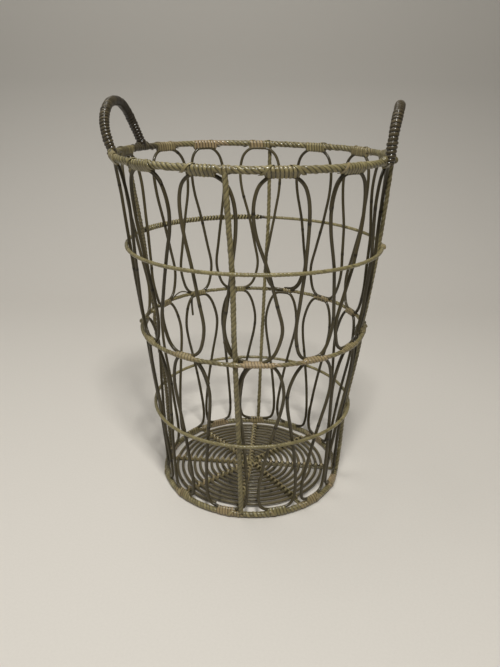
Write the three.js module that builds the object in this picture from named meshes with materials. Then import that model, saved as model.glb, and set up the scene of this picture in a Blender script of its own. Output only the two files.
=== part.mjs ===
// Tall open-work cane basket with two fixed handles. Millimetres, +Z up, origin on the floor under
// the middle of its overall width and depth. +X points to the right handle.
import * as THREE from 'three';

// ---- Driving dimensions ----------------------------------------------------------------------

const RIM = { radius: 212, z: 565, thick: 10.4, sides: 8 };
const UPPER_HOOP = { radius: 206, z: 428.5, thick: 5.6, sides: 6 };
const MIDDLE_HOOP = { radius: 188.5, z: 288.5, thick: 6, sides: 6 };
const LOWER_HOOP = { radius: 173, z: 144.5, thick: 5.2, sides: 6 };
const BASE_HOOP = { radius: 156.9, z: 5.2, thick: 10.4, sides: 8 };
const HOOP_STEPS = 48;

// Above the upper hoop the basket leans: its axis drifts this far sideways by the height of the rim.
const RIM_DRIFT = { x: -6.2, y: -1.3 };

const CANE = 4.2;          // diameter of the bent canes
const GAP = 0.35;          // clearance between pieces that touch
const END_GAP = 0.25;      // degrees between a loop's end and the end of its neighbour
const LOOP_STEPS = 30;

// Radius of the wall of canes at each height: [z, radius]. It is drawn in a little at each thin hoop.
const WALL = [
  [0, 154.1], [60, 157.5], [144.5, 162.6], [244.5, 175.2], [280.5, 177.2], [296.5, 177.4],
  [314.5, 181], [428.5, 194.8], [504.5, 202.8], [556.5, 208.3],
];

// Radius of the stakes' centre lines: outside the canes and inside the three hoops.
const STAKE_RADIUS = [
  [11.2, 159.7], [20, 160.4], [60, 162.6], [144.5, 167.1], [244.5, 181], [274.5, 184.6],
  [281.5, 183.9], [288.5, 181.2], [295.5, 183.6], [302.5, 185.4], [314.5, 186.6], [428.5, 199.7],
  [504.5, 208.0], [559.1, 213.8],
];
const STAKE = 4.4;         // stake diameter
// Each stake leans a few degrees round the basket: [name, degrees at the rim, degrees at the bottom].
const STAKES = [
  ['stake_front', -86.7, -83.4],
  ['stake_right', 0, 2],
  ['stake_back', 93.2, 97],
  ['stake_left', 176, 179],
];

// A tier is one row of loops. Arch k stands between the cups on its two sides. Each arch and cup
// is [middle, half width], in degrees round the basket, as the maker bent them by eye.
// archShape is [share of the half width, fall from the top] from the top out to the widest place,
// and cupShape is [share of the half width, rise from the bottom] from the widest place down.
const UPPER_TIER = {
  name: 'upper_loop',
  archZ: 556.5,
  cupZ: 292.2,
  archShape: [[0.42, 1.2], [0.76, 11], [0.92, 26], [1, 48]],
  cupShape: [[1, 52], [0.9, 26], [0.72, 9.5], [0.45, 1.7]],
  arches: [
    [-148.5, 9.5], [-121.9, 11], [-95.5, 11.1], [-67, 10.5], [-38, 9.2], [-9, 9.5], [16.5, 9.5],
    [40.5, 9.8], [68.6, 10.1], [98.4, 10.6], [126.8, 8.9], [149.1, 10.8], [180, 9.5],
  ],
  cups: [
    [-137.5, 10.5], [-111.2, 11.6], [-78, 12.6], [-49.8, 9.5], [-26.2, 12.1], [2, 10.8], [29, 10.8],
    [55.8, 11], [83, 12], [112.2, 12.4], [138.1, 10.2], [165, 12], [193, 10.8],
  ],
};
const LOWER_TIER = {
  name: 'lower_loop',
  archZ: 284.8,
  cupZ: 13,
  archShape: [[0.42, 1.6], [0.67, 12], [0.88, 30], [1, 54]],
  cupShape: [[1, 38], [0.97, 18], [0.84, 6], [0.5, 0.8]],
  arches: [
    [-136.5, 10.3], [-110.2, 11], [-73.5, 11.1], [-47.5, 13], [-22.8, 9.4], [2, 10.3], [30, 10.6],
    [57.5, 10.6], [83.2, 10.2], [111.6, 10.9], [137.5, 11.4], [164, 10.6], [192, 10.6],
  ],
  cups: [
    [-124.7, 9], [-92.7, 12.6], [-61.8, 11.6], [-35.2, 10.3], [-11, 10.8], [15, 11.5], [43, 11.5],
    [70, 12.3], [98, 13], [128.5, 9.9], [152.5, 11.8], [180, 11.5], [209, 11.5],
  ],
};

const HANDLE = { thick: 14.4, steps: 28 };
// Each handle is bent its own way: turn is where it stands, in degrees round the basket; halfSpan
// is from its middle to the centre of a leg; footOut is how far its feet stand outside the rim's
// centre line; rise is from the top of the rim to the centre of the grip; lean is how far the grip
// stands out beyond the feet; bow is how far the legs bend out; fullness below 1 squares the grip.
const HANDLES = [
  { name: 'handle_right', turn: -0.3, halfSpan: 56.7, footOut: 7, rise: 69, lean: 6.6, bow: -1.3, fullness: 0.9 },
  { name: 'handle_left', turn: 181.4, halfSpan: 64.5, footOut: 1.4, rise: 69.4, lean: 17.6, bow: 3.2, fullness: 0.96 },
];

const COIL = { thick: 4.2, firstRadius: 6, lastRadius: 139.5, pitch: 10.5, z: 5.5 };
const SPOKE = { count: 8, turn: 7, width: 6, height: 2.2, z: 2, from: 10.5, to: 151.2 };
const HUB = { radius: 9.6, sides: 16 };

const REED = new THREE.MeshStandardMaterial({ color: 0x8a8058, roughness: 0.48, metalness: 0 });
const DARK_CANE = new THREE.MeshStandardMaterial({ color: 0x4c4230, roughness: 0.5, metalness: 0 });
const HANDLE_REED = new THREE.MeshStandardMaterial({ color: 0x4a3c2e, roughness: 0.4, metalness: 0 });
const MAT_CANE = new THREE.MeshStandardMaterial({ color: 0x5d5240, roughness: 0.55, metalness: 0 });

// ---- Helpers ---------------------------------------------------------------------------------

const rad = THREE.MathUtils.degToRad;

// Reads a list of [z, value] pairs at any height, with straight lines between them.
function valueAt(table, z) {
  const last = table.length - 1;
  if (z <= table[0][0]) return table[0][1];
  if (z >= table[last][0]) return table[last][1];
  const i = table.findIndex((row) => row[0] >= z);
  const [z0, v0] = table[i - 1];
  const [z1, v1] = table[i];
  return v0 + (v1 - v0) * (z - z0) / (z1 - z0);
}

// Where the basket's axis stands at a height.
function axisAt(z) {
  const share = Math.max(0, (z - UPPER_HOOP.z) / (RIM.z - UPPER_HOOP.z));
  return new THREE.Vector3(RIM_DRIFT.x * share, RIM_DRIFT.y * share, z);
}

// The point at a radius, an angle in degrees round the basket, and a height.
function around(radius, degrees, z) {
  const a = rad(degrees);
  return axisAt(z).add(new THREE.Vector3(radius * Math.cos(a), radius * Math.sin(a), 0));
}

// A regular section, turned so that one side lies flat.
function section(diameter, sides) {
  const corner = diameter / 2 / Math.cos(Math.PI / sides);
  const shape = new THREE.Shape();
  for (let i = 0; i < sides; i += 1) {
    const a = (2 * i + 1) * Math.PI / sides;
    shape[i ? 'lineTo' : 'moveTo'](corner * Math.cos(a), corner * Math.sin(a));
  }
  shape.closePath();
  return shape;
}

function named(name, geometry, material) {
  const mesh = new THREE.Mesh(geometry, material);
  mesh.name = name;
  return mesh;
}

// A rod of one thickness along a curve.
function rod(curve, diameter, sides, steps) {
  return new THREE.ExtrudeGeometry(section(diameter, sides), { extrudePath: curve, steps });
}

// A level ring with a regular section.
function hoop(name, { radius, z, thick, sides }) {
  const corner = thick / 2 / Math.cos(Math.PI / sides);
  const profile = [];
  for (let i = 0; i <= sides; i += 1) {
    const a = (2 * (i % sides) + 1) * Math.PI / sides;
    profile.push(new THREE.Vector2(radius + corner * Math.cos(a), corner * Math.sin(a)));
  }
  const geometry = new THREE.LatheGeometry(profile, HOOP_STEPS);
  geometry.rotateX(Math.PI / 2);
  const mesh = named(name, geometry, REED);
  mesh.position.copy(axisAt(z));
  return mesh;
}

// ---- Canes -----------------------------------------------------------------------------------

// One side of a loop, from the middle of its arch down to the middle of the cup beside it, as
// [degrees, z] points. side is +1 towards rising angles and -1 towards falling ones.
function loopSide(tier, arch, cup, side) {
  const [archMid, archHalf] = arch;
  const [cupMid, cupHalf] = cup;
  const fall = tier.archZ - tier.cupZ;
  const wide = archMid + side * archHalf;
  const neck = cupMid - side * cupHalf;
  return [
    ...tier.archShape.map(([share, drop]) => [archMid + side * archHalf * share, tier.archZ - drop]),
    [wide + (neck - wide) * 0.36, tier.archZ - fall * 0.4],
    [wide + (neck - wide) * 0.74, tier.archZ - fall * 0.63],
    ...tier.cupShape.map(([share, rise]) => [cupMid - side * cupHalf * share, tier.cupZ + rise]),
    [cupMid - side * END_GAP, tier.cupZ],
  ];
}

// One bent cane: half a cup, an arch and half a cup.
function loop(tier, arch, cupBefore, cupAfter) {
  const route = [
    ...loopSide(tier, arch, cupBefore, -1).reverse(),
    [arch[0], tier.archZ],
    ...loopSide(tier, arch, cupAfter, 1),
  ];
  const points = route.map(([degrees, z]) => around(valueAt(WALL, z), degrees, z));
  return rod(new THREE.CatmullRomCurve3(points), CANE, 5, LOOP_STEPS);
}

// The cups run on round the basket, so the cup before the first arch is the last one.
function cupBefore(tier, k) {
  if (k > 0) return tier.cups[k - 1];
  const [middle, half] = tier.cups[tier.cups.length - 1];
  return [middle - 360, half];
}

function tierOfLoops(tier) {
  return tier.arches.map((arch, k) => {
    const name = `${tier.name}_${String(k + 1).padStart(2, '0')}`;
    return named(name, loop(tier, arch, cupBefore(tier, k), tier.cups[k]), DARK_CANE);
  });
}

function stake([name, topDegrees, footDegrees]) {
  const foot = STAKE_RADIUS[0][0];
  const top = STAKE_RADIUS[STAKE_RADIUS.length - 1][0];
  const points = STAKE_RADIUS.map(([z, radius]) => {
    const share = (z - foot) / (top - foot);
    return around(radius, footDegrees + (topDegrees - footDegrees) * share, z);
  });
  return named(name, rod(new THREE.CatmullRomCurve3(points), STAKE, 6, 24), REED);
}

// ---- Handles ---------------------------------------------------------------------------------

// An upside-down U that stands on the rim and leans outward, drawn for the +X side and turned.
function handle({ name, turn, halfSpan, footOut, rise, lean, bow, fullness }) {
  // The cut ends lean with the legs, so the feet stand a little higher to clear the rim.
  const footLean = Math.atan((lean + Math.PI * bow) / rise) + rad(7);
  const lift = GAP + HANDLE.thick / 2 * Math.sin(footLean);
  const footX = Math.sqrt((RIM.radius + footOut) ** 2 - halfSpan ** 2);
  const points = [];
  for (let i = 0; i <= 16; i += 1) {
    const a = Math.PI * i / 16;
    const share = Math.sin(a) ** fullness;
    const out = lean * share + bow * Math.sin(Math.PI * share);
    const y = halfSpan * Math.sign(Math.cos(a)) * Math.abs(Math.cos(a)) ** 0.9;
    points.push(new THREE.Vector3(footX + out, -y, RIM.z + RIM.thick / 2 + lift + (rise - lift) * share));
  }
  const geometry = rod(new THREE.CatmullRomCurve3(points), HANDLE.thick, 8, HANDLE.steps);
  const mesh = named(name, geometry, HANDLE_REED);
  mesh.rotation.z = rad(turn);
  mesh.position.copy(axisAt(RIM.z)).setZ(0);
  return mesh;
}

// ---- Bottom mat ------------------------------------------------------------------------------

// A flat coil whose radius grows by one pitch each turn.
class Coil extends THREE.Curve {
  constructor({ firstRadius, lastRadius, pitch, z }) {
    super();
    this.turns = (lastRadius - firstRadius) / pitch;
    this.first = firstRadius;
    this.last = lastRadius;
    this.z = z;
  }

  // Steps get shorter in angle as the coil grows, so that their lengths stay alike.
  getPoint(t, target = new THREE.Vector3()) {
    const r = Math.sqrt(this.first ** 2 + (this.last ** 2 - this.first ** 2) * t);
    const a = 2 * Math.PI * this.turns * (r - this.first) / (this.last - this.first);
    return target.set(r * Math.cos(a), r * Math.sin(a), this.z);
  }
}

function coil() {
  const curve = new Coil(COIL);
  curve.arcLengthDivisions = 2000;
  return named('base_coil', rod(curve, COIL.thick, 4, 300), MAT_CANE);
}

function spoke(k) {
  const length = SPOKE.to - SPOKE.from;
  const geometry = new THREE.BoxGeometry(length, SPOKE.width, SPOKE.height);
  geometry.translate(SPOKE.from + length / 2, 0, 0);
  const mesh = named(`base_spoke_${k + 1}`, geometry, MAT_CANE);
  mesh.position.z = SPOKE.z;
  mesh.rotation.z = rad(SPOKE.turn) + 2 * Math.PI * k / SPOKE.count;
  return mesh;
}

function hub() {
  const geometry = new THREE.CylinderGeometry(HUB.radius, HUB.radius, SPOKE.height, HUB.sides);
  geometry.rotateX(Math.PI / 2);
  const mesh = named('base_hub', geometry, MAT_CANE);
  mesh.position.z = SPOKE.z;
  return mesh;
}

// ---- Assembly --------------------------------------------------------------------------------

const basket = new THREE.Group();
basket.add(
  hoop('rim_hoop', RIM),
  hoop('upper_hoop', UPPER_HOOP),
  hoop('middle_hoop', MIDDLE_HOOP),
  hoop('lower_hoop', LOWER_HOOP),
  hoop('base_hoop', BASE_HOOP),
  ...tierOfLoops(UPPER_TIER),
  ...tierOfLoops(LOWER_TIER),
  ...STAKES.map(stake),
  ...HANDLES.map(handle),
  coil(),
  hub(),
);
for (let k = 0; k < SPOKE.count; k += 1) basket.add(spoke(k));

// The origin is under the middle of the overall width and depth.
const middle = new THREE.Box3().setFromObject(basket, true).getCenter(new THREE.Vector3());
basket.position.set(-middle.x, -middle.y, 0);

export default basket;
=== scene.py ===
"""Looks for the tall open-work cane basket: wound reed, bent canes, bindings and a coiled mat.

Metres throughout. Angles round the basket are in degrees from +X towards +Y.
"""

from collections import namedtuple
import math

import bpy
import numpy as np
from mathutils import Matrix, Vector


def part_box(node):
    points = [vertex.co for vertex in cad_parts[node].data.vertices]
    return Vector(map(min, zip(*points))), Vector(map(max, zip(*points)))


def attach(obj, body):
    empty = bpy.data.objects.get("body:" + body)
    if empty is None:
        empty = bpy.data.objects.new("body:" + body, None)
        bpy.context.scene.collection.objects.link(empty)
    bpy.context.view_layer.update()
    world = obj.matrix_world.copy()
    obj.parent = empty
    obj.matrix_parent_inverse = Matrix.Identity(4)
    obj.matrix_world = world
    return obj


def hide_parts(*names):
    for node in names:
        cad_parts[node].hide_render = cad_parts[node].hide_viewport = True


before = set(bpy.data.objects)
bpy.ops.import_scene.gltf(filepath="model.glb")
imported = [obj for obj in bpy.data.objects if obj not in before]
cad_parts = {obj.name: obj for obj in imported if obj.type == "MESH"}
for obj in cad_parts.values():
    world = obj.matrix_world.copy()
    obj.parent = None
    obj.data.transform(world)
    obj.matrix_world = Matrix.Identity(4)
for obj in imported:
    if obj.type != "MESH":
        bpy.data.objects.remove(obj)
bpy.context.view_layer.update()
BODY = "root"
MM = 0.001
rng = np.random.default_rng(1907)

# ---- Sizes read from the frame --------------------------------------------------------------


def ring_of(node):
    """(centre, radius of the centre line, half thickness) of a level ring."""
    lo, hi = (np.array(v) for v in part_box(node))
    half = (hi[2] - lo[2]) / 2
    return (lo + hi) / 2, (hi[1] - lo[1]) / 2 - half, half


RIM_MIDDLE, RIM_RADIUS, RIM_HALF = ring_of("rim_hoop")
UPPER_MIDDLE, UPPER_RADIUS, _ = ring_of("upper_hoop")
WAIST_MIDDLE, WAIST_RADIUS, _ = ring_of("middle_hoop")
LOWER_MIDDLE, LOWER_RADIUS, _ = ring_of("lower_hoop")
BASE_MIDDLE, BASE_RADIUS, BASE_HALF = ring_of("base_hoop")
COIL_Z = sum(v[2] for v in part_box("base_coil")) / 2

RIM_Z, UPPER_Z, WAIST_Z, LOWER_Z = (middle[2] for middle in (
    RIM_MIDDLE, UPPER_MIDDLE, WAIST_MIDDLE, LOWER_MIDDLE))

# ---- Driving values -------------------------------------------------------------------------

CANE = 2.6 * MM            # radius of the bent canes
WOUND_HOOP = 2.9 * MM      # radius of the thin hoops with their winding
WOUND_WAIST = 3.4 * MM
WOUND_HANDLE = 7.7 * MM
REED = 0.6 * MM            # how far one more layer of reed stands out
GROOVE_SHADE_DEPTH = 1.1 * MM     # depth from which the painted shade in a groove is full
ARCH_DROP = 7.5 * MM       # from the centre line of the rim down to the top of the arches
WAIST_SHIFT = 2.6 * MM     # cups are tied on just over the waist hoop, arches just under it

# The wall of canes: (height, radius in mm).
WALL = [(0.012, 155.0), (0.05, 158.0), (LOWER_Z, 166.6), (WAIST_Z - 0.02, 181.5),
        (WAIST_Z, 183.7), (WAIST_Z + 0.02, 186.5), (UPPER_Z, 199.6), (UPPER_Z + 0.076, 204.4),
        (RIM_Z - ARCH_DROP, 209.6)]
# How far a cane dips inward where it passes behind a stake: (height, mm).
DIP = [(0.013, 0.6), (0.06, 2.5), (LOWER_Z, 5.8), (0.20, 5.5), (WAIST_Z - 0.012, 8.0),
       (WAIST_Z + 0.016, 8.0), (0.35, 6.2), (UPPER_Z, 5.8), (0.504, 2.0), (0.556, 1.0)]
DIP_REACH = 7.0            # degrees to either side of the stake
# The line of the stakes: (height, radius in mm).
STAKE_WALL = [(0.010, 159.6), (0.06, 162.6), (LOWER_Z, 166.6), (0.245, 180.6),
              (WAIST_Z - 0.012, 183.2), (WAIST_Z, 181.4), (WAIST_Z + 0.012, 184.2),
              (0.325, 188.0), (UPPER_Z, 199.4), (0.505, 208.4), (0.562, 214.2)]
# (node, degrees at the bottom, at mid height and at the rim)
STAKES = [("stake_front", -83.4, -86.3, -86.6), ("stake_right", 2, 1, 0),
          ("stake_back", 97, 95, 93.2), ("stake_left", 179, 177.4, 176)]
STAKE_MIDDLE = WAIST_Z + 0.06
STAKE_RADIUS = dict(stake_front=4.1 * MM, stake_right=3.4 * MM, stake_back=3.6 * MM,
                    stake_left=3.4 * MM)

# Each arch and cup is (middle, half width) in degrees, as bent by eye. The shapes are (share of
# the half width, distance from the top or the bottom), from the middle of the arch to that of
# the cup. The leg between them is (share of the way towards the neck, share of the fall).
LEG_SHAPE = [(0.07, 0.29), (0.36, 0.44), (0.76, 0.66)]
UPPER_TIER = dict(
    node="upper_loop", arch_z=RIM_Z - ARCH_DROP, cup_z=WAIST_Z + WAIST_SHIFT,
    arch_shape=[(0.42, 0.0012), (0.75, 0.011), (0.92, 0.026), (1, 0.048)],
    cup_shape=[(1, 0.052), (0.9, 0.027), (0.72, 0.0105), (0.45, 0.002)],
    arches=[(-148.5, 9.5), (-121.9, 11), (-94.8, 10.8), (-67, 10.5), (-38, 9.2), (-9, 9.5),
            (16.5, 9.5), (40.5, 9.8), (68.6, 10.1), (98.4, 10.6), (126.8, 8.9), (149.1, 10.8),
            (180, 9.5)],
    cups=[(-137.5, 10.5), (-111.2, 11.6), (-78, 12.6), (-49.8, 9.5), (-26.2, 12.1), (2, 10.8),
          (29, 10.8), (55.8, 11), (83, 12), (112.2, 12.4), (138.1, 10.2), (165, 12), (193, 10.8)])
LOWER_TIER = dict(
    node="lower_loop", arch_z=WAIST_Z - WAIST_SHIFT, cup_z=0.0122,
    arch_shape=[(0.42, 0.0016), (0.67, 0.0115), (0.88, 0.030), (1, 0.054)],
    cup_shape=[(1, 0.038), (0.97, 0.018), (0.84, 0.006), (0.5, 0.0008)],
    arches=[(-136.5, 10.3), (-110.2, 11), (-73.5, 11.1), (-47.5, 13), (-22.8, 9.4), (2, 10.3),
            (30, 10.6), (57.5, 10.6), (83.2, 10.2), (111.6, 10.9), (137.5, 11.4), (164, 10.6),
            (192, 10.6)],
    cups=[(-124.7, 9), (-92.7, 12.6), (-61.8, 11.6), (-35.2, 10.3), (-11, 10.8), (15, 11.5),
          (43, 11.5), (70, 12.3), (98, 13), (128.5, 9.9), (152.5, 11.8), (180, 11.5), (209, 11.5)])

# Second canes that lie beside a loop where two lengths are spliced:
# (tier, loop, side, first share of the side, last share, which flank).
SPLICES = [
    (UPPER_TIER, 4, -1, 0.02, 0.24, 1),
    (UPPER_TIER, 2, 1, 0.80, 1.0, 1), (UPPER_TIER, 1, 1, 0.03, 0.15, -1),
    (UPPER_TIER, 8, 1, 0.82, 1.0, -1),
    (UPPER_TIER, 12, 1, 0.02, 0.22, 1), (LOWER_TIER, 1, 1, 0.03, 0.2, -1),
    (LOWER_TIER, 2, -1, 0.02, 0.2, 1), (LOWER_TIER, 9, 1, 0.02, 0.24, 1),
    (LOWER_TIER, 7, -1, 0.74, 1.0, -1), (LOWER_TIER, 5, 1, 0.02, 0.2, 1),
]

SPLICE_ASIDE, SPLICE_LIFT, SPLICE_CANE = 3.4 * MM, 1.6 * MM, 1.9 * MM
LOOP_WANDER = 0.5 * MM     # how unevenly the loops were bent, in and out

# Each handle is bent its own way (mm): turn in degrees round the basket, half the span between its
# legs, how far its feet stand outside the rim's centre line, height of the grip over the rim, how
# far the grip and the legs stand out, and how square the grip is.
HANDLES = [
    dict(node="handle_right", turn=-0.3, half_span=56.7, foot_out=7, rise=69, lean=6.6,
         bow=-1.3, fullness=0.9),
    dict(node="handle_left", turn=181.4, half_span=64.5, foot_out=1.4, rise=69.4, lean=17.6,
         bow=3.2, fullness=0.96),
]

COIL_FIRST, COIL_LAST, COIL_PITCH = 6 * MM, 139.5 * MM, 10.5 * MM
COIL_CANE = 2.55 * MM
COIL_WAVE = 0.35 * MM
SPOKES = [7, 53, 99, 142, 187, 231, 274, 317]   # degrees, as the eight lashings came out
SPOKE_WIDTH, SPOKE_THICK, SPOKE_Z = 3.4 * MM, 2.2 * MM, 1.7 * MM
SPOKE_APART = 2.1 * MM     # from the middle of a spoke to each of its two canes
LASH_WIDTH, LASH_THICK = 4.0 * MM, 1.7 * MM
LASH_SPAN, LASH_FOOT = 4.6 * MM, 2.0 * MM       # half its length across, height of its ends
LASH_TINTS = (0.2, 0.15)   # mean and spread of how pale a lashing is
HUB_REEDS, HUB_REACH = (8, 52, 97, 143), 13 * MM
HUB_WIDTH, HUB_THICK = 4.4 * MM, 1.3 * MM

# ---- Curves ---------------------------------------------------------------------------------


def at(table, z):
    """Reads (height, mm) pairs at a height, in metres."""
    heights, values = zip(*table)
    return np.interp(z, heights, values) * MM


def axis_at(z):
    """Where the basket's axis stands at a height: straight up, then leaning from the upper hoop."""
    share = np.clip((np.asarray(z) - UPPER_Z) / (RIM_Z - UPPER_Z), 0, None)
    lean = (RIM_MIDDLE - UPPER_MIDDLE)[:2]
    return UPPER_MIDDLE[:2] + share[..., None] * lean


def around(radius, degrees, z):
    """Points at a radius, an angle and a height."""
    a = np.radians(degrees)
    centre = axis_at(z)
    return np.stack([centre[..., 0] + radius * np.cos(a), centre[..., 1] + radius * np.sin(a),
                     np.broadcast_to(z, np.shape(a)) * 1.0], -1)


SPLINE_STEPS = 24          # between two points of a path, before it is spaced evenly


def smooth_path(points, step):
    """A centripetal Catmull-Rom curve through the points, in even steps."""
    p = np.asarray(points, float)
    p = np.vstack([2 * p[0] - p[1], p, 2 * p[-1] - p[-2]])
    knots = np.concatenate([[0], np.cumsum(np.sqrt(np.linalg.norm(np.diff(p, axis=0), axis=1)))])
    out = []
    for i in range(1, len(p) - 2):
        t0, t1, t2, t3 = knots[i - 1:i + 3]
        t = np.linspace(t1, t2, SPLINE_STEPS, endpoint=False)[:, None]
        a1 = (t1 - t) / (t1 - t0) * p[i - 1] + (t - t0) / (t1 - t0) * p[i]
        a2 = (t2 - t) / (t2 - t1) * p[i] + (t - t1) / (t2 - t1) * p[i + 1]
        a3 = (t3 - t) / (t3 - t2) * p[i + 1] + (t - t2) / (t3 - t2) * p[i + 2]
        b1 = (t2 - t) / (t2 - t0) * a1 + (t - t0) / (t2 - t0) * a2
        b2 = (t3 - t) / (t3 - t1) * a2 + (t - t1) / (t3 - t1) * a3
        out.append((t2 - t) / (t2 - t1) * b1 + (t - t1) / (t2 - t1) * b2)
    out.append(p[-2][None])
    return even(np.vstack(out), step)


def even(points, step, closed=False):
    """The same line in even steps."""
    p = np.vstack([points, points[:1]]) if closed else points
    run = run_along(p)
    count = max(2, int(round(run[-1] / step)))
    s = np.linspace(0, run[-1], count + 1)
    if closed:
        s = s[:-1]
    return np.stack([np.interp(s, run, p[:, k]) for k in range(3)], -1)


def frames(points, out, closed=False):
    """Outward normal and side vector at each point, square to the line."""
    if closed:
        tangent = np.roll(points, -1, 0) - np.roll(points, 1, 0)
    else:
        tangent = np.gradient(points, axis=0)
    tangent /= np.linalg.norm(tangent, axis=1)[:, None]
    normal = out - (out * tangent).sum(1)[:, None] * tangent
    normal /= np.linalg.norm(normal, axis=1)[:, None]
    return normal, np.cross(normal, tangent)


def run_along(points):
    """Distance from the first point, along the line."""
    return np.concatenate([[0], np.cumsum(np.linalg.norm(np.diff(points, axis=0), axis=1))])


def from_axis(points):
    """The direction away from the basket's axis at each point."""
    out = points.copy()
    out[:, :2] -= axis_at(points[:, 2])
    out[:, 2] = 0
    return out / np.maximum(np.linalg.norm(out, axis=1), 1e-9)[:, None]


def straight_up(count):
    """The direction up, for each of a number of points."""
    return np.tile([0.0, 0.0, 1.0], (count, 1))


def drift(count, bends, amount):
    """Slow random wander along a piece, one value per step, with about that many bends."""
    knots = np.linspace(0, count - 1, max(4, bends))
    return np.interp(np.arange(count), knots, rng.normal(0, amount, len(knots)))


# ---- Meshes ---------------------------------------------------------------------------------


def linked(name, data):
    """An object for a mesh, a light or a camera, in the scene."""
    obj = bpy.data.objects.new(name, data)
    bpy.context.scene.collection.objects.link(obj)
    return obj


def grid_mesh(name, rings, closed, attributes):
    """A tube through rings of points, (steps, sides, 3), with named attributes of that shape."""
    steps, sides = rings.shape[:2]
    i = np.arange(steps if closed else steps - 1)[:, None]
    j = np.arange(sides)[None]
    i2, j2 = (i + 1) % steps, (j + 1) % sides
    quads = np.stack([i * sides + j, i * sides + j2, i2 * sides + j2, i2 * sides + j], -1)
    faces = quads.reshape(-1, 4).tolist()
    smooth = [True] * len(faces)
    if not closed:
        faces.append(list(range(sides))[::-1])
        faces.append([(steps - 1) * sides + k for k in range(sides)])
        smooth += [False, False]
    mesh = bpy.data.meshes.new(name)
    mesh.from_pydata(rings.reshape(-1, 3).tolist(), [], faces)
    for key, values in attributes.items():
        layer = mesh.attributes.new(key, "FLOAT_VECTOR", "POINT")
        layer.data.foreach_set("vector", values.astype(np.float32).ravel())
    mesh.polygons.foreach_set("use_smooth", smooth)
    mesh.update()
    return linked(name, mesh)


def stacked(shape, *values):
    """Values spread over a shape, as the parts of one vector attribute."""
    return np.stack([np.broadcast_to(v, shape) for v in values], -1)


def finish_piece(obj, material, slot, *nodes):
    """Gives a piece its material and body, and hides the CAD nodes it stands in for; slot is not
    used.
    """
    obj.data.materials.append(material)
    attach(obj, BODY)
    if nodes:
        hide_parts(*nodes)
    return obj


UNEVEN, UNEVEN_RUN = 0.025, 14     # how much a cane's radius wanders, and over how many steps
WORN_END = 0.86                    # radius of a cut end, as a share
FIRST_JOINT = (0.02, 0.16)         # from the start of a cane to its first joint
JOINT_APART = (0.13, 0.24)         # between two joints in the growth of a cane
JOINT_RISE, JOINT_LENGTH = 0.32 * MM, 2.2 * MM


def cane(name, points, radius=CANE, sides=10):
    """A round cane with slow changes of thickness and a few swollen joints in the growth."""
    normal, side = frames(points, from_axis(points))
    steps = len(points)
    run = run_along(points)
    thick = radius * (1 + drift(steps, steps // UNEVEN_RUN, UNEVEN))
    joint = np.zeros(steps)
    place = rng.uniform(*FIRST_JOINT)
    while place < run[-1]:
        joint = np.maximum(joint, np.exp(-((run - place) / JOINT_LENGTH) ** 2))
        place += rng.uniform(*JOINT_APART)
    thick = thick + joint * JOINT_RISE
    thick[[0, -1]] *= WORN_END
    phi = np.linspace(0, 2 * np.pi, sides, endpoint=False)
    ring = np.cos(phi)[None, :, None] * normal[:, None] + np.sin(phi)[None, :, None] * side[:, None]
    rings = points[:, None] + ring * thick[:, None, None]
    shape = rings.shape[:2]
    seed = rng.uniform(0, 50)
    grain = stacked(shape, (run + seed)[:, None], np.cos(phi) * radius, np.sin(phi) * radius)
    turn = stacked(shape, rng.uniform(0, 1), joint[:, None], 0.0)
    return grid_mesh(name, rings, False, {"grain": grain, "turn": turn})


def window(s, middle, half, edge, length=None):
    """1 over a stretch of a rod, falling smoothly to 0 past its ends."""
    d = np.abs(s - middle)
    if length:
        d = np.minimum(d, length - d)
    t = np.clip((half + edge - d) / edge, 0, 1)
    return t * t * (3 - 2 * t)


def taken_in(phi, radius, away, other, direction):
    """Radius of a tight wrap round a rod and a second cane beside it, at angles phi.

    The second cane has radius other and lies the distance away, towards direction (degrees).
    """
    psi = np.linspace(0, 2 * np.pi, 181)
    reach = np.maximum(radius, other + away * np.cos(psi - math.radians(direction)))
    facing = np.cos(psi[None] - phi[:, None])
    return np.where(facing > 0.2, reach[None] / np.maximum(facing, 0.2), 1.0).min(1)


# A place where a winding takes in a cane beside its rod: how far along the rod, its half length,
# the distance of that cane, its direction in degrees from outward towards the side vector, its
# radius and the tint of the reed there. With no radius it only tints the reed.
Swell = namedtuple("Swell", "place half away direction radius tint")

SLICES = 9                 # steps along a rod for each turn of its winding
SPARE = 8                  # more turns than fit on a rod, for those that its slant runs into
TIE_EDGE, SWELL_EDGE = 0.5 * MM, 2.8 * MM   # how softly a binding and its bulge begin
PITCH_RUN, PITCH_WANDER = 0.03, 0.10        # the pitch wanders by this share over this length
TURN_HEIGHTS = (1, 0.17)   # mean and spread of the height of a turn, as a share of the relief
TURN_TILTS = (0.15, 0.25)  # mean and spread of how far a turn lies over the one before it
TURN_TINTS = (0.5, 0.24)   # mean and spread of the tint of a turn


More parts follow.
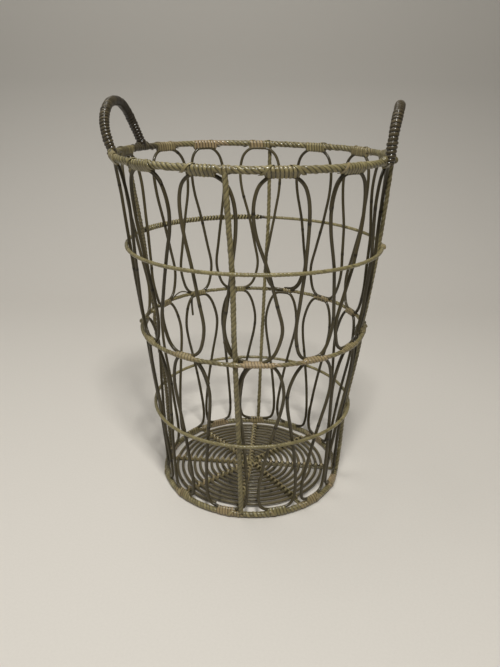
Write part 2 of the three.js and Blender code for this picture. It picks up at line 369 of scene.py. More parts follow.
def wound(name, points, outward, radius, pitch, relief, sides, closed=False, swells=(), starts=2,
          crowd=1.18, opening=None):
    """A rod with flat reed wound round it in close turns.

    Between swells the reed runs slantwise, by the number of starts; within them the turns are
    closer, by crowd. opening deepens the grooves by share of the length.
    """
    step = pitch / SLICES
    points = even(points, step, closed)
    normal, side = frames(points, outward(points), closed)
    steps = len(points)
    length = step * steps
    loop = length if closed else None
    s = np.arange(steps) * step
    wander = 1 + drift(steps, int(length / PITCH_RUN), PITCH_WANDER)
    tight = np.zeros(steps)
    for swell in swells:
        tight = np.maximum(tight, window(s, swell.place, swell.half, TIE_EDGE, loop))
    turns = np.cumsum((1 + (crowd - 1) * tight) / wander) * step / pitch
    if closed:
        turns *= round(turns[-1]) / turns[-1]
    laps = int(round(turns[-1]))
    phi = np.linspace(0, 2 * np.pi, sides, endpoint=False)
    slant = np.where(tight > 0.5, 1, starts)[:, None]
    t = turns[:, None] + slant * phi[None] / (2 * np.pi)
    index = np.floor(t).astype(int) % (laps if closed else laps + SPARE)
    across = t - np.floor(t)
    crown = 1 - np.abs(2 * across - 1) ** 2.6
    height = rng.normal(*TURN_HEIGHTS, laps + SPARE)[index]
    lap = rng.normal(*TURN_TILTS, laps + SPARE)[index] * (across - 0.5)
    deep = relief if opening is None else relief * opening(s / length)[:, None]
    ground, kind = np.full((steps, sides), radius), np.zeros(laps + SPARE)
    for swell in swells:
        if swell.radius:
            bulge = window(s, swell.place, swell.half, SWELL_EDGE, loop)[:, None]
            hull = taken_in(phi, radius + REED, swell.away, swell.radius + REED, swell.direction)
            ground = np.maximum(ground, ground + bulge * (hull[None] - ground))
        near = window(s, swell.place, swell.half, TIE_EDGE, loop) > 0.5
        kind[np.unique(index[near])] = swell.tint
    r = ground - deep + deep * np.clip(crown * height + lap * crown, 0, 1.6)
    ring = np.cos(phi)[None, :, None] * normal[:, None] + np.sin(phi)[None, :, None] * side[:, None]
    rings = points[:, None] + ring * r[..., None]
    rings[..., 2] = np.maximum(rings[..., 2], 0)      # nothing sinks below the floor
    tint = np.clip(rng.normal(*TURN_TINTS, laps + SPARE), 0, 1)[index]
    grain = np.stack([t * 2 * np.pi * radius, across * pitch, index * 0.37], -1)
    # Painted shade: dark between the turns, lighter where the grooves are shallow.
    shade_and_joints = (1 - crown) * min(1.0, relief / GROOVE_SHADE_DEPTH)
    turn = np.stack([tint, shade_and_joints, kind[index]], -1)
    return grid_mesh(name, rings, closed, {"grain": grain, "turn": turn})


def strip(name, points, out, width, thick, kind=0.0, tint=0.5):
    """A short flat reed that lies along a line, with its face outward and its edges rounded."""
    normal, side = frames(points, out)
    phi = np.linspace(0, 2 * np.pi, 10, endpoint=False)
    flat = np.sign(np.cos(phi)) * np.abs(np.cos(phi)) ** 0.55 * width / 2
    face = np.sign(np.sin(phi)) * np.abs(np.sin(phi)) ** 0.8 * thick / 2
    rings = (points[:, None] + flat[None, :, None] * side[:, None]
             + face[None, :, None] * normal[:, None])
    shape = rings.shape[:2]
    grain = stacked(shape, run_along(points)[:, None], flat, rng.uniform(0, 9))
    # Painted shade darkens the strip towards its two edges.
    turn = stacked(shape, np.clip(rng.normal(tint, 0.25), 0, 1), np.abs(np.cos(phi)) ** 6, kind)
    return grid_mesh(name, rings, False, {"grain": grain, "turn": turn})


def joined(name, objects):
    """One object from several."""
    bpy.ops.object.select_all(action="DESELECT")
    for o in objects:
        o.select_set(True)
    bpy.context.view_layer.objects.active = objects[0]
    bpy.ops.object.join()
    objects[0].name = name
    objects[0].data.name = name
    return objects[0]


# ---- Materials ------------------------------------------------------------------------------


def mixed(nodes, links, factor, a, b):
    """A colour mix of two colours or colour sockets."""
    mix = nodes.new("ShaderNodeMix")
    mix.data_type = "RGBA"
    for key, value in ((0, factor), (6, a), (7, b)):
        if isinstance(value, bpy.types.NodeSocket):
            links.new(value, mix.inputs[key])
        else:
            mix.inputs[key].default_value = value
    return mix.outputs[2]


def noise(nodes, links, vector, stretch, scale, detail, roughness):
    """A noise texture on a stretched copy of a vector."""
    scaled = nodes.new("ShaderNodeVectorMath")
    scaled.operation = "MULTIPLY"
    links.new(vector, scaled.inputs[0])
    scaled.inputs[1].default_value = stretch
    texture = nodes.new("ShaderNodeTexNoise")
    texture.inputs["Scale"].default_value = scale
    texture.inputs["Detail"].default_value = detail
    texture.inputs["Roughness"].default_value = roughness
    links.new(scaled.outputs[0], texture.inputs["Vector"])
    return texture.outputs["Fac"]


def ramped(nodes, links, value, low, high, to_low=0.0, to_high=1.0):
    """A value spread from one range to another."""
    spread = nodes.new("ShaderNodeMapRange")
    spread.inputs["From Min"].default_value = low
    spread.inputs["From Max"].default_value = high
    spread.inputs["To Min"].default_value = to_low
    spread.inputs["To Max"].default_value = to_high
    links.new(value, spread.inputs["Value"])
    return spread.outputs["Result"]


BLOTCH_SCALE, SPECK_SCALE = 38, 900


def new_material(name):
    """A material with its nodes, its links and its shader."""
    material = bpy.data.materials.new(name)
    material.use_nodes = True
    nodes, links = material.node_tree.nodes, material.node_tree.links
    return material, nodes, links, nodes["Principled BSDF"]


def named_vector(nodes, name):
    """The socket of a mesh attribute."""
    attribute = nodes.new("ShaderNodeAttribute")
    attribute.attribute_name = name
    return attribute.outputs["Vector"]


def reed_material(name, dark, light, pale, dusky, shade_and_grain, fibre, rough, coat):
    """Flat or round cane: long fibres, a tint for each turn or length, painted shade in the
    grooves, dark joints, worn gloss.

    Each turn is between dark and light; its kind pulls it towards pale (1) or dusky (-1).
    """
    material, nodes, links, shader = new_material(name)
    parts = nodes.new("ShaderNodeSeparateXYZ")
    links.new(named_vector(nodes, "turn"), parts.inputs[0])
    tint, shade_and_joints, kind = parts.outputs
    fibres = noise(nodes, links, named_vector(nodes, "grain"), fibre, 1.0, 4, 0.6)
    place = nodes.new("ShaderNodeTexCoord").outputs["Object"]
    blotches = noise(nodes, links, place, (1, 1, 1), BLOTCH_SCALE, 3, 0.55)
    specks = noise(nodes, links, place, (1, 1, 1), SPECK_SCALE, 2, 0.6)

    colour = mixed(nodes, links, tint, dark, light)
    middle = tuple(0.5 * (d + l) for d, l in zip(dark, light))
    colour = mixed(nodes, links, ramped(nodes, links, blotches, 0.35, 0.7), colour, middle)
    colour = mixed(nodes, links, ramped(nodes, links, kind, 0, 1), colour, pale)
    colour = mixed(nodes, links, ramped(nodes, links, kind, 0, -1), colour, dusky)
    # Fibres and specks darken the reed towards this colour as grain; the second channel of turn
    # adds painted shade in the grooves and along strip edges, and the dark joints of round canes.
    for value, low, high, share in (
            (fibres, 0.42, 0.7, 0.5), (specks, 0.62, 0.78, 0.35), (shade_and_joints, 0.2, 0.8, 0.95)):
        shade = ramped(nodes, links, value, low, high, 0.0, share)
        colour = mixed(nodes, links, shade, colour, shade_and_grain)
    links.new(colour, shader.inputs["Base Color"])
    links.new(ramped(nodes, links, fibres, 0.3, 0.7, rough - 0.08, rough + 0.16),
              shader.inputs["Roughness"])
    shader.inputs["Specular IOR Level"].default_value = 0.2
    shader.inputs["Coat Weight"].default_value = coat
    shader.inputs["Coat Roughness"].default_value = 0.17
    bump = nodes.new("ShaderNodeBump")
    bump.inputs["Strength"].default_value = 0.5
    bump.inputs["Distance"].default_value = 0.0004
    links.new(fibres, bump.inputs["Height"])
    links.new(bump.outputs["Normal"], shader.inputs["Normal"])
    return material


ALONG_CANE = (28, 1500, 1500)      # long fine fibres on round cane
ALONG_REED = (70, 1600, 40)        # the same on flat reed
KHAKI = reed_material(
    "wound_reed", dark=(0.135, 0.112, 0.048, 1), light=(0.37, 0.315, 0.15, 1),
    pale=(0.44, 0.315, 0.18, 1), dusky=(0.075, 0.06, 0.038, 1), shade_and_grain=(0.014, 0.011, 0.004, 1),
    fibre=ALONG_REED, rough=0.36, coat=0.6)
BROWN = reed_material(
    "dark_cane", dark=(0.034, 0.027, 0.012, 1), light=(0.1, 0.081, 0.039, 1),
    pale=(0.24, 0.19, 0.11, 1), dusky=(0.03, 0.022, 0.012, 1), shade_and_grain=(0.014, 0.011, 0.006, 1),
    fibre=ALONG_CANE, rough=0.38, coat=0.35)
GRIP = reed_material(
    "handle_reed", dark=(0.038, 0.029, 0.0145, 1), light=(0.115, 0.091, 0.048, 1),
    pale=(0.27, 0.22, 0.13, 1), dusky=(0.035, 0.026, 0.015, 1), shade_and_grain=(0.007, 0.005, 0.003, 1),
    fibre=ALONG_REED, rough=0.30, coat=0.55)
MAT = reed_material(
    "mat_cane", dark=(0.07, 0.056, 0.028, 1), light=(0.175, 0.144, 0.078, 1),
    pale=(0.36, 0.3, 0.19, 1), dusky=(0.05, 0.04, 0.024, 1), shade_and_grain=(0.02, 0.016, 0.008, 1),
    fibre=ALONG_CANE, rough=0.40, coat=0.3)

# ---- Rings ----------------------------------------------------------------------------------

# A level ring is (middle, radius of its centre line).
RIM, WAIST = (RIM_MIDDLE, RIM_RADIUS), (WAIST_MIDDLE, WAIST_RADIUS)
UPPER, LOWER = (UPPER_MIDDLE, UPPER_RADIUS), (LOWER_MIDDLE, LOWER_RADIUS)
BASE = (BASE_MIDDLE, BASE_RADIUS)

# Directions round a ring's section: the side vector of a ring's frame points up.
UP, DOWN, INWARD, OUTWARD = 90, -90, 180, 0

# Tints of the bindings, from the first arch or cup of a tier on: above 0 paler, below 0 darker.
RIM_TINTS = (0.1, 0.0, 0.0, 0.08, 0.0, 0.1, 0.2, 0.15, 0.05, 0.6, 0.7, 0.3, -0.5)
WAIST_CUP_TINTS = (0.1, 0.4, 0.7, 0.5, 0.2, 0.1, 0.3, 0.4, 0.2, 0.0, 0.1, 0.2, 0.3)
WAIST_ARCH_TINTS = (0.1, 0.3, 0.7, 0.5, 0.2, 0.1, 0.3, 0.4, 0.2, 0.0, 0.1, 0.2, 0.3)
BASE_TINTS = (0.1, 0.5, 0.0, 0.3, 0.6)

ROPE = (98, 173)           # degrees of the upper hoop that carry a twisted pair of thick reeds
ROPE_REED = 2.4 * MM       # radius of each
ROPE_OFFSET = 2.7 * MM     # of each from the middle of the hoop
ROPE_TWIST = 12.4 * MM     # length of a full twist
ROPE_GROOVE = 4.9 * MM, 1.1 * MM   # shade starts this far from the middle, and is full this much in
UPPER_KNOT = 4             # degrees of the lump where the upper hoop's winding ends
WAIST_KNOTS = (7, 12, 173, 188, 194)   # degrees of the lumps where binders end on the waist hoop
RIM_LUMP = 4               # degrees of the lump on the rim inside the right handle


def ring_line(ring, degrees, out=0.0, up=0.0):
    """Points beside a ring's centre line at the angles, some way outward and up."""
    middle, radius = ring
    a = np.radians(degrees)
    return np.stack([middle[0] + (radius + out) * np.cos(a), middle[1] + (radius + out) * np.sin(a),
                     middle[2] + up + 0 * a], -1)


def circle(ring, wave=0.0):
    """A level ring of points, a little uneven if asked."""
    degrees = np.linspace(0, 360, 720, endpoint=False)
    a = np.radians(degrees)
    lift = sum(wave / k * np.sin(k * a + rng.uniform(0, 6.3)) for k in (2, 3, 5))
    bulge = sum(wave / k * np.sin(k * a + rng.uniform(0, 6.3)) for k in (2, 3, 4))
    return ring_line(ring, degrees, bulge, lift)


def place_on(ring, degrees):
    """Distance along a ring to an angle."""
    return math.radians(degrees % 360) * ring[1]


def bound(ring, tier, key, height, half, tints):
    """Swells that take in the middle of every arch or cup of a tier."""
    rise, out = height - ring[0][2], float(at(WALL, height)) - ring[1]
    away, direction = math.hypot(rise, out), math.degrees(math.atan2(rise, out))
    return [Swell(place_on(ring, middle), half * rng.uniform(0.86, 1.14), away, direction, CANE,
                  tints[k % len(tints)])
            for k, (middle, _) in enumerate(tier[key])]


def wound_ring(node, ring, wave, radius, pitch, relief, sides, *winding):
    """A ring of the basket with its winding; the rest says what the winding takes in."""
    line = circle(ring, wave)
    return wound(node + "_winding", line, from_axis, radius, pitch, relief, sides, True, *winding)


def rim():
    """The rim: it takes in the arches, the tops of the stakes and the feet of the handles."""
    swells = bound(RIM, UPPER_TIER, "arches", UPPER_TIER["arch_z"], 0.019, RIM_TINTS)
    for *_, top in STAKES:
        swells.append(Swell(place_on(RIM, top), 5 * MM, 3.6 * MM, DOWN + 40, 3.0 * MM, 0.1))
    for h in HANDLES:
        reach = math.degrees(math.asin(h["half_span"] * MM / (RIM_RADIUS + h["foot_out"] * MM)))
        for sign in (-1, 1):
            # The rim by the left handle's back foot is stained dark.
            stain_and_shade = h["node"] == "handle_left" and sign < 0
            tint = -0.9 if stain_and_shade else -0.25
            foot = place_on(RIM, h["turn"] + sign * reach)
            swells.append(Swell(foot, 13 * MM, 4.4 * MM, UP - 28, 4.4 * MM, tint))
            swells.append(Swell(foot - sign * 22 * MM, 10 * MM, 2.2 * MM, UP - 10, 3.6 * MM, tint))
    swells.append(Swell(place_on(RIM, RIM_LUMP), 5 * MM, 6.6 * MM, OUTWARD - 25, 5.0 * MM, -0.1))
    obj = wound_ring("rim", RIM, 0.5 * MM, RIM_HALF + 0.1 * MM, 8.2 * MM, 1.15 * MM, 28,
                     swells, 4, 1.4)
    finish_piece(obj, KHAKI, "reed", "rim_hoop")


def rope_reed(start):
    """One of the two thick reeds of the rope, with painted shade in the groove between them."""
    degrees = np.linspace(*ROPE, 1400)
    run = np.radians(degrees - ROPE[0])
    twist = run * UPPER_RADIUS / ROPE_TWIST * 2 * math.pi + start
    grip = ROPE_OFFSET * np.clip(np.minimum(run, run[-1] - run) / 0.03, 0.45, 1)
    line = ring_line(UPPER, degrees, grip * np.cos(twist), grip * np.sin(twist))
    reed = cane("rope", even(line, 0.9 * MM), ROPE_REED, 12)
    points = np.array([v.co for v in reed.data.vertices]) - UPPER_MIDDLE
    # Painted shade on the parts of each reed that lie deep in the groove, near the hoop.
    from_core = np.hypot(np.hypot(points[:, 0], points[:, 1]) - UPPER_RADIUS, points[:, 2])
    shade_and_joints = np.clip((ROPE_GROOVE[0] - from_core) / ROPE_GROOVE[1], 0, 1)
    turn = stacked(shade_and_joints.shape, 0.8, shade_and_joints, -0.1).astype(np.float32)
    reed.data.attributes["turn"].data.foreach_set("vector", turn.ravel())
    return reed


def upper_hoop():
    """The upper hoop; at the back left it is bound with two thick reeds twisted like a rope."""
    half = math.radians(ROPE[1] - ROPE[0]) / 2 * UPPER_RADIUS
    # Under the rope the hoop's own reed is dusky: painted shade in the grooves between the two
    # twisted reeds.
    stain_and_shade = Swell(place_on(UPPER, sum(ROPE) / 2), half, 0, 0, 0, -1.0)
    knot = Swell(place_on(UPPER, UPPER_KNOT), 5 * MM, 3.0 * MM, OUTWARD, 3.0 * MM, 0.2)
    hoop = wound_ring("upper_hoop", UPPER, 0.9 * MM, WOUND_HOOP, 5.4 * MM, 0.5 * MM, 16,
                      [stain_and_shade, knot])
    rope = [rope_reed(start) for start in (0, math.pi)]
    finish_piece(joined("upper_hoop_winding", [hoop] + rope), KHAKI, "reed", "upper_hoop")


def lower_hoop():
    """The thin hoop that crosses the lower loops."""
    obj = wound_ring("lower_hoop", LOWER, 0.8 * MM, WOUND_HOOP, 5.6 * MM, 0.45 * MM, 16)
    finish_piece(obj, KHAKI, "reed", "lower_hoop")


def waist():
    """The middle hoop: it takes in the cups above it and the arches below it."""
    swells = bound(WAIST, UPPER_TIER, "cups", UPPER_TIER["cup_z"], 0.014, WAIST_CUP_TINTS)
    swells += bound(WAIST, LOWER_TIER, "arches", LOWER_TIER["arch_z"], 0.014, WAIST_ARCH_TINTS)
    for _, _, middle, _ in STAKES:
        swells.append(Swell(place_on(WAIST, middle), 3.5 * MM, 5.5 * MM, INWARD, 2.4 * MM, 0.1))
    for degrees in WAIST_KNOTS:
        swells.append(Swell(place_on(WAIST, degrees), 3 * MM, 3.4 * MM, OUTWARD, 2.8 * MM, -0.2))
    obj = wound_ring("middle_hoop", WAIST, 0.7 * MM, WOUND_WAIST, 6.6 * MM, 0.85 * MM, 20,
                     swells, 3, 1.35)
    finish_piece(obj, KHAKI, "reed", "middle_hoop")


def base_ring():
    """The bottom ring: it takes in the lower cups and the ends of the spokes."""
    swells = bound(BASE, LOWER_TIER, "cups", LOWER_TIER["cup_z"], 0.013, BASE_TINTS)
    for degrees in SPOKES:
        swells.append(Swell(place_on(BASE, degrees), 4 * MM, 3.0 * MM, INWARD, 3.4 * MM, 0.3))
    obj = wound_ring("base_hoop", BASE, 0.0, BASE_HALF - 0.2 * MM, 6.0 * MM, 0.9 * MM, 24, swells)
    finish_piece(obj, KHAKI, "reed", "base_hoop")


# ---- Loops ----------------------------------------------------------------------------------


def loop_side(tier, arch, cup, side):
    """(degrees, z) points from beside the middle of an arch down to the middle of a cup."""
    middle, half = arch
    cup_middle, cup_half = cup
    fall = tier["arch_z"] - tier["cup_z"]
    wide = middle + side * half
    neck = cup_middle - side * cup_half
    top = [(middle + side * half * share, tier["arch_z"] - drop)
           for share, drop in tier["arch_shape"]]
    leg = [(wide + (neck - wide) * share, tier["arch_z"] - fall * drop)
           for share, drop in LEG_SHAPE]
    low = [(cup_middle - side * cup_half * share, tier["cup_z"] + rise)
           for share, rise in tier["cup_shape"]]
    return top + leg + low + [(cup_middle - side * 0.2, tier["cup_z"])]


def cups_beside(tier, k):
    """The cups before and after an arch."""
    before = tier["cups"][k - 1] if k else (tier["cups"][-1][0] - 360, tier["cups"][-1][1])
    return before, tier["cups"][k]


def stake_degrees(angles, z):
    """Where a stake stands at a height, from its three angles."""
    return np.interp(z, [0, STAKE_MIDDLE, RIM_Z], angles)


def behind_stakes(degrees, z):
    """How far in a cane lies where it passes behind a stake."""
    dip = 0
    for _, *angles in STAKES:
        away = (degrees - stake_degrees(angles, z) + 180) % 360 - 180
        dip = np.maximum(dip, np.exp(-(away / DIP_REACH) ** 2) * at(DIP, z))
    return dip


WALL_STEP = 3.2 * MM       # between two points of a cane, and the length of about one degree


def on_wall(route, flank=0.0, lift=0.0):
    """A smooth cane line from (degrees, z) points. flank shifts it sideways along the wall."""
    degrees, z = np.array(route).T
    flat = smooth_path(np.stack([degrees, z / WALL_STEP, degrees * 0], -1), 1.0)
    degrees, z = flat[:, 0], flat[:, 1] * WALL_STEP
    radius = at(WALL, z)
    if flank:
        along = np.stack([np.gradient(np.radians(degrees)) * radius, np.gradient(z)], -1)
        along /= np.linalg.norm(along, axis=1)[:, None]
        degrees = degrees + np.degrees(flank * along[:, 1] / radius)
        z = z - flank * along[:, 0]
    radius = radius - behind_stakes(degrees, z) + lift
    return even(around(radius, degrees, z), WALL_STEP)


def loops(tier):
    """The bent canes of a tier, each from the middle of a cup over its arch to the next cup."""
    for k, arch in enumerate(tier["arches"]):
        before, after = cups_beside(tier, k)
        route = loop_side(tier, arch, before, -1)[::-1] + [(arch[0], tier["arch_z"])]
        route += loop_side(tier, arch, after, 1)
        line = on_wall(route)
        line = line + from_axis(line) * drift(len(line), 7, LOOP_WANDER)[:, None]
        node = f"{tier['node']}_{k + 1:02d}"
        finish_piece(cane(node + "_cane", line), BROWN, "dark_cane", node)


def splices():
    """Short canes that lie beside a loop, a little outside it."""
    for n, (tier, k, side, first, last, flank) in enumerate(SPLICES):
        arch = tier["arches"][k]
        cup = cups_beside(tier, k)[0 if side < 0 else 1]
        route = [(arch[0], tier["arch_z"])] + loop_side(tier, arch, cup, side)
        line = on_wall(route, flank * SPLICE_ASIDE, SPLICE_LIFT)
        line = line[int(first * len(line)):max(int(last * len(line)), 3)]
        obj = cane(f"splice_{n + 1:02d}", line, SPLICE_CANE)
        finish_piece(obj, BROWN, "dark_cane")


def stakes():
    """The wound stakes; the left one has a dark stain."""
    for node, *angles in STAKES:
        z = np.array([h for h, _ in STAKE_WALL])
        line = smooth_path(around(at(STAKE_WALL, z), stake_degrees(angles, z), z), 2 * MM)
        stain = [Swell(0.28, 0.28, 0, 0, 0, -0.6)] if node == "stake_left" else []
        obj = wound(node + "_winding", line, from_axis, STAKE_RADIUS[node], 8.0 * MM, 0.85 * MM, 16,
                    swells=stain, starts=3)
        finish_piece(obj, KHAKI, "reed", node)


# ---- Handles --------------------------------------------------------------------------------


def handle(node, turn, half_span, foot_out, rise, lean, bow, fullness):
    """An upside-down U of thick wound reed, with its feet sunk into the winding of the rim."""
    foot_x = math.sqrt((RIM_RADIUS + foot_out * MM) ** 2 - (half_span * MM) ** 2)
    a = np.linspace(0, np.pi, 33)
    share = np.sin(a) ** fullness
    out = lean * MM * share + bow * MM * np.sin(np.pi * share)
    y = -half_span * MM * np.sign(np.cos(a)) * np.abs(np.cos(a)) ** 0.9
    line = np.stack([foot_x + out, y, RIM_Z + RIM_HALF + rise * MM * share], -1)
    sunk = line[[0, -1]] - [0.2 * foot_out * MM, 0, 7 * MM]
    line = np.vstack([sunk[:1], line, sunk[1:]])
    c, s = math.cos(math.radians(turn)), math.sin(math.radians(turn))
    line[:, :2] = line[:, :2] @ np.array([[c, s], [-s, c]]) + RIM_MIDDLE[:2]
    line = smooth_path(line, 2 * MM)

    def facing(points):
        """Outward and a little up, the same along the whole handle."""
        return np.tile([c, s, 0.2], (len(points), 1))

    def opening(share):
        """The turns lie tight over the grip and stand open towards the feet."""
        return 0.55 + 0.75 * np.abs(2 * share - 1) ** 0.8

    # The left handle's leg at the back is stained nearly black.
    stain = [Swell(0.045, 0.07, 0, 0, 0, -0.9)] if node == "handle_left" else []
    obj = wound(node + "_winding", line, facing, WOUND_HANDLE, 5.1 * MM, 1.35 * MM, 24,
                swells=stain, starts=1, crowd=1.0, opening=opening)
    finish_piece(obj, GRIP, "handle_reed", node)


# ---- Bottom mat -----------------------------------------------------------------------------


def coil():
    """One long cane in a slightly wavy spiral."""
    turns = (COIL_LAST - COIL_FIRST) / COIL_PITCH
    t = np.linspace(0, 1, 2600)
    r = np.sqrt(COIL_FIRST ** 2 + (COIL_LAST ** 2 - COIL_FIRST ** 2) * t)
    a = 2 * np.pi * turns * (r - COIL_FIRST) / (COIL_LAST - COIL_FIRST)
    r = r + COIL_WAVE * np.sin(7.3 * a) * np.clip(r / 0.05, 0, 1)
    line = np.stack([BASE_MIDDLE[0] + r * np.cos(a), BASE_MIDDLE[1] + r * np.sin(a),
                     np.full_like(a, COIL_Z)], -1)
    finish_piece(cane("base_coil_cane", even(line, 3.0 * MM), COIL_CANE, 10), MAT, "mat_cane",
                 "base_coil")


def spoke_line(degrees, along, across):
    """Points of the mat at distances along and across a spoke, on the floor."""
    a = math.radians(degrees)
    out, aside = np.array([math.cos(a), math.sin(a), 0]), np.array([-math.sin(a), math.cos(a), 0])
    foot = np.array([BASE_MIDDLE[0], BASE_MIDDLE[1], 0])
    return foot + out * along[:, None] + aside * across[:, None]


def lashing(degrees, r, leg):
    """A band of thin reed over one turn of the coil; leg is the side it slants to, -1 or 1."""
    t = np.linspace(-1, 1, 21)
    along = r + leg * (0.35 + 0.35 * t) * COIL_PITCH * 0.62 * t
    line = spoke_line(degrees, along, t * LASH_SPAN + rng.normal(0, 0.25 * MM))
    over = np.clip(1 - np.abs(t) ** 3.0, 0, 1)
    line[:, 2] = LASH_FOOT + over * (COIL_Z + COIL_CANE + 0.9 * MM - LASH_FOOT) + leg * 0.2 * MM
    tint = float(np.clip(rng.normal(*LASH_TINTS), 0, 0.6))
    return strip("lash", line, straight_up(len(t)), LASH_WIDTH, LASH_THICK, tint, 1.1)


def lashed_spoke(k):
    """A flat pair of canes under the coil, lashed to every turn of it."""
    pieces = []
    for sign in (-1, 1):
        r = np.linspace(9 * MM, BASE_RADIUS - 3.5 * MM, 60)
        line = spoke_line(SPOKES[k], r, sign * SPOKE_APART + drift(60, 9, 0.15 * MM))
        line[:, 2] = SPOKE_Z
        pieces.append(strip("spoke", line, straight_up(60), SPOKE_WIDTH, SPOKE_THICK, -0.2))
    crossed = COIL_FIRST + COIL_PITCH * (SPOKES[k] / 360 + np.arange(0, 14))
    for r in crossed[(crossed > 8 * MM) & (crossed < COIL_LAST)]:
        pieces += [lashing(SPOKES[k], r, leg) for leg in (-1, 1)]
    node = f"base_spoke_{k + 1}"
    finish_piece(joined(node + "_lashing", pieces), KHAKI, "reed", node)


def hub():
    """The crossed reeds that the coil starts from."""
    reeds = []
    for n, degrees in enumerate(HUB_REEDS):
        s = np.linspace(-HUB_REACH, HUB_REACH, 28)
        line = spoke_line(degrees, s, 0 * s)
        line[:, 2] = COIL_Z + 0.6 * MM + 0.9 * MM * n - np.abs(s) * 0.28
        reeds.append(strip("hub_reed", line, straight_up(28), HUB_WIDTH, HUB_THICK, 0.1))
    finish_piece(joined("base_hub_weave", reeds), KHAKI, "reed", "base_hub")


# ---- Loose ends -----------------------------------------------------------------------------

TAIL_AT = 142              # degrees of the cut tail that hangs from the waist hoop
TAIL = [(0, 0, 0), (0, 0, -6), (-0.6, 0, -18), (0.8, 1, -43)]   # its points, mm from its start
SLACK = (143, 156)         # degrees that a slack turn of binder spans
SLACK_RISE = [0.0, 3.4, 6.0, 7.6, 8.2, 7.6, 6.0, 3.4, 0.0]      # its height over the hoop, in mm


def loose_ends():
    """A cut tail that hangs at the back left, and a slack turn of binder above it."""
    foot = ring_line(WAIST, TAIL_AT, -2 * MM)
    tail = smooth_path(foot + np.array(TAIL) * MM, 1.5 * MM)
    degrees = np.linspace(*SLACK, len(SLACK_RISE))
    rise = np.array(SLACK_RISE) * MM + 1.5 * MM
    slack = smooth_path(ring_line(WAIST, degrees, 0.0, rise), 1.2 * MM)
    ends = [cane("tail", tail, 2.1 * MM), cane("slack", slack, 1.2 * MM)]
    finish_piece(joined("loose_ends", ends), BROWN, "dark_cane")


# ---- Bindings -------------------------------------------------------------------------------

CROSS_WIDTH, CROSS_THICK = 4.2 * MM, 1.3 * MM


def crossing(ring, rod, degrees, reach, first, last, tint):
    """A reed that crosses a ring slantwise: it climbs round the section as it runs along.

    It runs reach to either side of the angle, and from the first to the last direction.
    """
    t = np.linspace(0, 1, 26)
    section = np.radians(first + (last - first) * t)
    angle = degrees + np.degrees(reach / ring[1]) * (2 * t - 1)
    r = rod + 0.35 * MM + 0.5 * MM * np.sin(np.pi * t)
    line = ring_line(ring, angle, r * np.cos(section), r * np.sin(section))
    return strip("crossing", line, line - ring_line(ring, angle), CROSS_WIDTH, CROSS_THICK, tint)


def crossings():
    """Slanting reeds at the ends of the bindings, some degrees from the middle of each."""
    rod = RIM_HALF + 0.4 * MM
    on_rim, on_base = [], []
    for k, (middle, _) in enumerate(UPPER_TIER["arches"]):
        tint = float(rng.choice([0, 0, 0.1, 0.3]))
        slant = 1 if k % 3 else -1
        on_rim.append(crossing(RIM, rod, middle - 5.4 * slant, 10 * MM * slant, -95, 110, tint))
        if k % 2:
            on_rim.append(crossing(RIM, rod, middle + 5.6 * slant, -9 * MM * slant, -90, 120, tint))
    for k, (middle, _) in enumerate(LOWER_TIER["cups"]):
        slant = 1 if k % 2 else -1
        on_base.append(
            crossing(BASE, BASE_HALF, middle + 4 * slant, 7 * MM * slant, -20, 150, 0.2))
    finish_piece(joined("rim_bindings", on_rim), KHAKI, "reed")
    finish_piece(joined("base_bindings", on_base), KHAKI, "reed")


# ---- Assembly -------------------------------------------------------------------------------

rim()
upper_hoop()
lower_hoop()
waist()
base_ring()
loops(UPPER_TIER)
loops(LOWER_TIER)
splices()
stakes()
for values in HANDLES:
    handle(**values)
coil()
for spoke in range(len(SPOKES)):
    lashed_spoke(spoke)
hub()
loose_ends()
crossings()

# ---- Floor, light and camera ----------------------------------------------------------------

VIEW = 12.0                # degrees from the front of the frame to the camera
DISTANCE, HEIGHT = 0.9867, 0.6541   # from the basket's axis, and over the floor
YAW, PITCH, ROLL = -0.302, 21.528, 0.7606       # degrees
SENSOR = 36
FOCAL = 611.09 / 667 * SENSOR      # a focal length of 611 pixels in a picture 667 high
FLOOR_REACH, HALF_WIDTH, WALL_TOP = 4.0, 6, 4.0
BEND_AT, BEND = 0.9, 0.8   # where the floor starts to bend up, and the radius of the bend
# (name, place, target, size, power, colour)
LIGHTS = [("key", (0.35, -1.15, 2.5), (0, 0, 0.35), 0.4, 50, (1, 0.985, 0.95)),
          ("top", (-0.9, 0.1, 2.6), (0, 0, 0.2), 1.3, 14, (1, 0.99, 0.96)),
          ("side", (-2.0, -0.8, 1.4), (0, 0, 0.3), 1.2, 4, (0.97, 0.98, 1))]


def backdrop():
    """A pale sweep: floor, a soft bend and a wall, seen from inside."""
    profile = [(-FLOOR_REACH, 0.0), (BEND_AT, 0.0)]
    profile += [(BEND_AT + BEND * math.sin(a), BEND - BEND * math.cos(a))
                for a in np.linspace(0.1, 1.57, 14)]
    profile += [(BEND_AT + BEND, WALL_TOP)]
    turn = Matrix.Rotation(math.radians(VIEW), 4, "Z")
    verts = [turn @ Vector((x, y, z)) for y, z in profile for x in (-HALF_WIDTH, HALF_WIDTH)]
    faces = [(2 * i, 2 * i + 1, 2 * i + 3, 2 * i + 2) for i in range(len(profile) - 1)]
    mesh = bpy.data.meshes.new("backdrop")
    mesh.from_pydata(verts, [], faces)
    mesh.polygons.foreach_set("use_smooth", [True] * len(faces))
    mesh.materials.append(pale_material())
    obj = linked("backdrop", mesh)


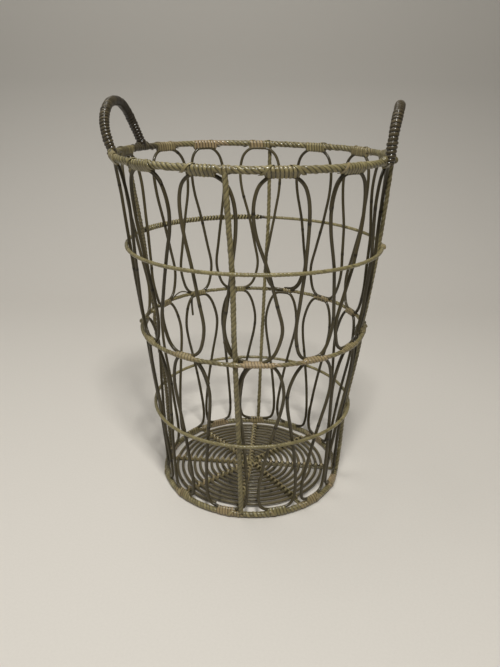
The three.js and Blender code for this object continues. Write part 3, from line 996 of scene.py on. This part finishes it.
def pale_material():
    """A pale matt surface, darkened up the wall by painted shade, with a faint mottle."""
    material, nodes, links, shader = new_material("pale_floor")
    place = nodes.new("ShaderNodeTexCoord").outputs["Object"]
    height = nodes.new("ShaderNodeSeparateXYZ")
    links.new(place, height.inputs[0])
    # Painted shade: the colour falls from the floor's to a darker one by 0.7 m up the wall.
    up = ramped(nodes, links, height.outputs["Z"], 0.0, 0.7)
    base = mixed(nodes, links, up, (0.70, 0.665, 0.61, 1), (0.44, 0.42, 0.385, 1))
    mottle = noise(nodes, links, place, (1, 1, 1), 260, 3, 0.6)
    colour = mixed(nodes, links, ramped(nodes, links, mottle, 0.3, 0.8, 0.0, 0.12), base,
                   (0.5, 0.47, 0.42, 1))
    links.new(colour, shader.inputs["Base Color"])
    links.new(ramped(nodes, links, mottle, 0.3, 0.7, 0.55, 0.7), shader.inputs["Roughness"])
    return material


def area(name, place, target, size, power, colour):
    """A round soft light at a place, turned to a target."""
    light = bpy.data.lights.new(name, "AREA")
    light.shape = "DISK"
    light.size = size
    light.energy = power
    light.color = colour
    obj = linked(name, light)
    obj.location = place
    obj.rotation_euler = (Vector(target) - Vector(place)).to_track_quat("-Z", "Y").to_euler()


def camera():
    """The camera stands in front of the basket, turned, tipped and rolled as it was held."""
    yaw, pitch, roll = (math.radians(v) for v in (YAW, PITCH, ROLL))
    forward = Vector((math.sin(yaw) * math.cos(pitch), math.cos(yaw) * math.cos(pitch),
                      -math.sin(pitch)))
    right = Vector((math.cos(yaw), -math.sin(yaw), 0))
    up = right.cross(forward)
    level = math.cos(roll) * right + math.sin(roll) * up
    upright = -math.sin(roll) * right + math.cos(roll) * up
    turned = Matrix((level, upright, -forward)).transposed().to_4x4()
    turned.translation = (0, -DISTANCE, HEIGHT)
    data = bpy.data.cameras.new("camera")
    data.sensor_width = SENSOR
    data.lens = FOCAL
    obj = linked("camera", data)
    obj.matrix_world = (Matrix.Translation((BASE_MIDDLE[0], BASE_MIDDLE[1], 0))
                        @ Matrix.Rotation(math.radians(VIEW), 4, "Z") @ turned)
    bpy.context.scene.camera = obj


def studio():
    """A dim, nearly white surround."""
    world = bpy.data.worlds.new("studio")
    world.use_nodes = True
    surround = world.node_tree.nodes["Background"]
    surround.inputs["Color"].default_value = (0.9, 0.9, 0.88, 1)
    surround.inputs["Strength"].default_value = 0.13
    bpy.context.scene.world = world
    bpy.context.scene.view_settings.view_transform = "Standard"


backdrop()
for light in LIGHTS:
    area(*light)
camera()
studio()
